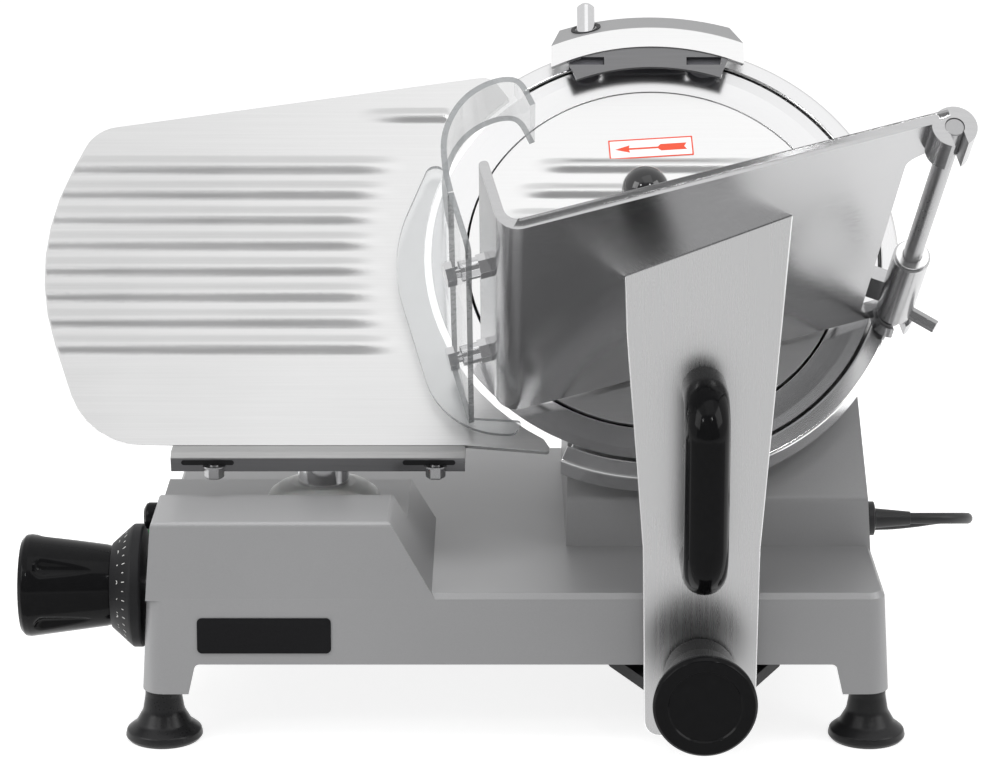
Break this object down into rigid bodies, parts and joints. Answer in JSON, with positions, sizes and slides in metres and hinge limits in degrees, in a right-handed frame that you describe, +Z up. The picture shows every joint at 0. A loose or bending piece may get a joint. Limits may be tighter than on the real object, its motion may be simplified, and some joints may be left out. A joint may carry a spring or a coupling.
{
  "type": "electric food slicer",
  "caption": "Gravity-feed food slicer with a tilted round blade, ribbed gauge plate on a scroll dial, sliding food carriage with swing pusher, sharpener and mains lead.",
  "frame": {"origin": "centre of the bounding box at table level, the mains lead left out", "axes": "+X to the operator's right along the carriage travel, +Y away from the operator, +Z up"},
  "size_m": [0.5275, 0.502, 0.3737],
  "materials": {
    "cast_aluminium": "satin cast",
    "polished_aluminium": "brushed",
    "blade_steel": "ground",
    "bright_steel": "bright",
    "black_gloss": "gloss",
    "black_matte": "matte",
    "white_nylon": "matte",
    "clear_plastic": "clear",
    "foot_rubber": "matte",
    "lead_rubber": "matte",
    "motor_paint": "satin",
    "bush_bronze": "plain",
    "stone_grit": "rough",
    "green_plastic": "gloss",
    "red_plastic": "gloss"
  },
  "bodies": {
    "base": {"base_casting": "cast_aluminium", "bottom_plate": "blade_steel", "feet": "foot_rubber", "slide_rod": "blade_steel", "guide_rail": "blade_steel", "gauge_guide_rod": "blade_steel", "motor_body": "motor_paint", "motor_bracket": "blade_steel", "bearing_housing": "cast_aluminium", "shaft_bearings": "blade_steel", "ring_guard": "cast_aluminium", "blade_cover": "polished_aluminium", "cover_tie_rod": "blade_steel", "cover_knob": "black_gloss", "drive_belt": "lead_rubber", "sharpener_hood": "cast_aluminium", "sharpener_shield": "black_matte", "switch_box": "black_matte", "pilot_lamp": "black_matte", "cord_gland": "lead_rubber", "power_cord": "lead_rubber", "cord_coil": "lead_rubber", "cord_tie": "black_matte", "mains_plug": "lead_rubber"},
    "dial": {"dial_knob": "black_gloss", "dial_skirt": "black_gloss", "dial_shaft": "blade_steel", "scroll_disc": "blade_steel"},
    "gauge": {"gauge_plate": "polished_aluminium", "gauge_bar": "cast_aluminium", "gauge_bolts": "bright_steel", "gauge_post": "bright_steel", "post_collar": "white_nylon", "gauge_slide": "cast_aluminium"},
    "blade_unit": {"blade": "blade_steel", "blade_shaft": "blade_steel", "blade_pulley": "blade_steel", "blade_screws": "bright_steel"},
    "rotor": {"motor_shaft": "blade_steel", "motor_pulley": "blade_steel", "motor_fan": "black_matte"},
    "carriage": {"food_tray": "polished_aluminium", "carriage_arm": "polished_aluminium", "arm_handle": "black_gloss", "carriage_foot": "black_matte", "slide_bushes": "bush_bronze", "rail_shoe": "white_nylon", "clear_guard": "clear_plastic", "guard_bolts": "bright_steel", "pusher_rod": "bright_steel"},
    "clamp": {"clamp_knob": "black_gloss"},
    "pusher_slider": {"pusher_bush": "white_nylon"},
    "pusher": {"pusher_sleeve": "cast_aluminium", "pusher_plate": "polished_aluminium", "pusher_knob": "black_gloss"},
    "sharpener": {"sharpener_pin": "bright_steel", "sharpening_stones": "stone_grit"},
    "start": {"start_button": "green_plastic"},
    "stop": {"stop_button": "red_plastic"}
  },
  "joints": [
    {"name": "dial_turn", "type": "hinge", "parent": "base", "child": "dial", "pos_m": [-0.2193, -0.0585, 0.081], "axis": [-1, 0, 0], "range_deg": [0, 300]},
    {"name": "gauge_slide", "type": "slide", "parent": "base", "child": "gauge", "axis": [0, 1, 0], "range_m": [0, 0.01571]},
    {"name": "blade_spin", "type": "hinge", "parent": "base", "child": "blade_unit", "pos_m": [0.0964, 0.0435, 0.2417], "axis": [0, -0.766, 0.6428], "continuous": true},
    {"name": "motor_spin", "type": "hinge", "parent": "base", "child": "rotor", "pos_m": [0.1244, -0.0015, 0.18808], "axis": [0, -0.766, 0.6428], "continuous": true},
    {"name": "carriage_slide", "type": "slide", "parent": "base", "child": "carriage", "axis": [1, 0, 0], "range_m": [-0.21, 0.02]},
    {"name": "clamp_knob_turn", "type": "hinge", "parent": "carriage", "child": "clamp", "pos_m": [0.116, -0.1415, 0.0505], "axis": [0, -1, 0], "continuous": true},
    {"name": "pusher_slide", "type": "slide", "parent": "carriage", "child": "pusher_slider", "axis": [0.0503, -0.7557, 0.653], "range_m": [0, 0.1]},
    {"name": "pusher_swing", "type": "hinge", "parent": "pusher_slider", "child": "pusher", "pos_m": [0.22634, 0.01667, 0.20972], "axis": [-0.0503, 0.7557, -0.653], "range_deg": [0, 110]},
    {"name": "sharpener_press", "type": "slide", "parent": "base", "child": "sharpener", "axis": [0, -0.6428, -0.766], "range_m": [0, 0.005], "stiffness_N_per_m": 600, "springref_m": -0.004},
    {"name": "start_press", "type": "slide", "parent": "base", "child": "start", "axis": [1, 0, 0], "range_m": [0, 0.003], "stiffness_N_per_m": 600, "springref_m": -0.002},
    {"name": "stop_press", "type": "slide", "parent": "base", "child": "stop", "axis": [1, 0, 0], "range_m": [0, 0.003], "stiffness_N_per_m": 600, "springref_m": -0.002}
  ],
  "couplings": [
    {"joint": "gauge_slide", "follows": "dial_turn", "m_per_rad": 0.003},
    {"joint": "motor_spin", "follows": "blade_spin", "ratio": 3.8}
  ]
}
